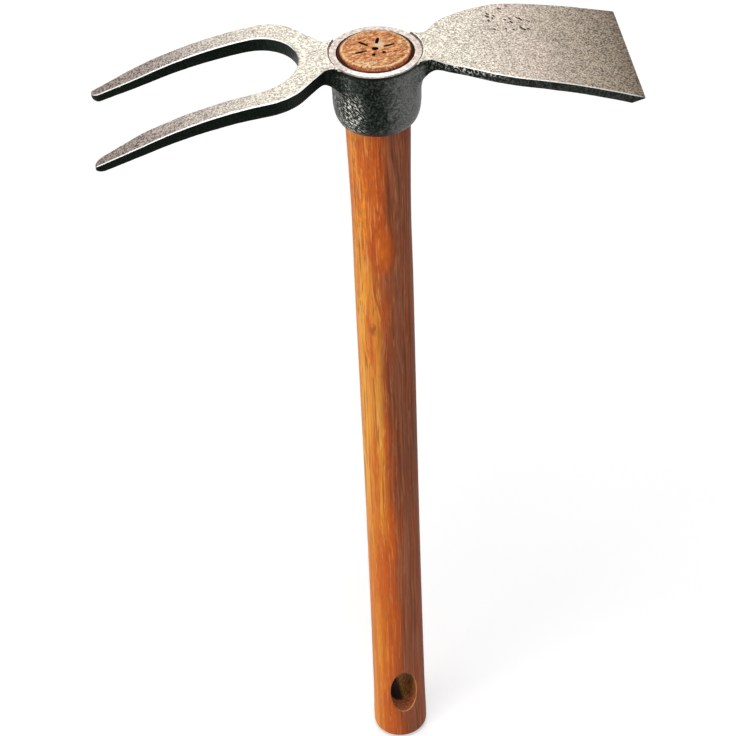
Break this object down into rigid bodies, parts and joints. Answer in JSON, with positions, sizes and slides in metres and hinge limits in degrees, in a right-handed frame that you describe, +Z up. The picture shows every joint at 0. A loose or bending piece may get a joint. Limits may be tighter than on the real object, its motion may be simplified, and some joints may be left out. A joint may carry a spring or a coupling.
{
  "type": "combination hoe",
  "caption": "Short-handled garden hand tool: a forged head with a flat hoe blade on one side and a pronged fork on the other, on a turned wooden handle with a hanging slot.",
  "frame": {"origin": "centre of the oval hanging slot near the butt of the handle, on the handle's axis", "axes": "+Z up the handle towards the head, +X towards the hoe blade, so the fork is at -X, +Y across the head"},
  "size_m": [0.2307, 0.0686, 0.4198],
  "materials": {
    "forged_steel": "forged steel, pale and grainy on top, dark forging scale on the sides and below, clear lacquered",
    "lacquered_hardwood": "turned hardwood, orange brown stain, satin lacquer"
  },
  "bodies": {
    "root": {"forged_head": "forged_steel", "handle": "lacquered_hardwood"}
  },
  "joints": []
}
